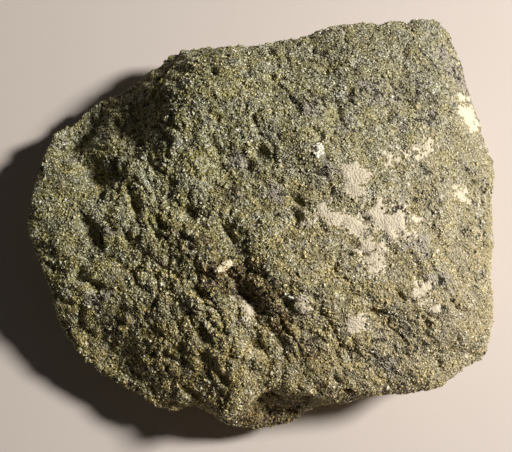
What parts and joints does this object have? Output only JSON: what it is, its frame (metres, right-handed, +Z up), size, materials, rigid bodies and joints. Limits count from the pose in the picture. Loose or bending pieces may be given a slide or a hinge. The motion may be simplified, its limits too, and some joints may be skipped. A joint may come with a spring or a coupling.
{
  "type": "olivine rock specimen",
  "caption": "Hand specimen of massive granular olivine: a broken, crumbly green stone with a flatter upper face and a flat spot underneath to rest on.",
  "frame": {"origin": "on the surface it rests on, under the middle of the stone's bounding box", "axes": "+X along the longest extent, towards the straight broken end; +Y towards the back edge; +Z up"},
  "size_m": [0.1108, 0.0978, 0.0328],
  "materials": {
    "granular_olivine": "crumbly, sugary grains, olive green with cream and brown stains"
  },
  "bodies": {
    "root": {"olivine_stone": "granular_olivine"}
  },
  "joints": []
}
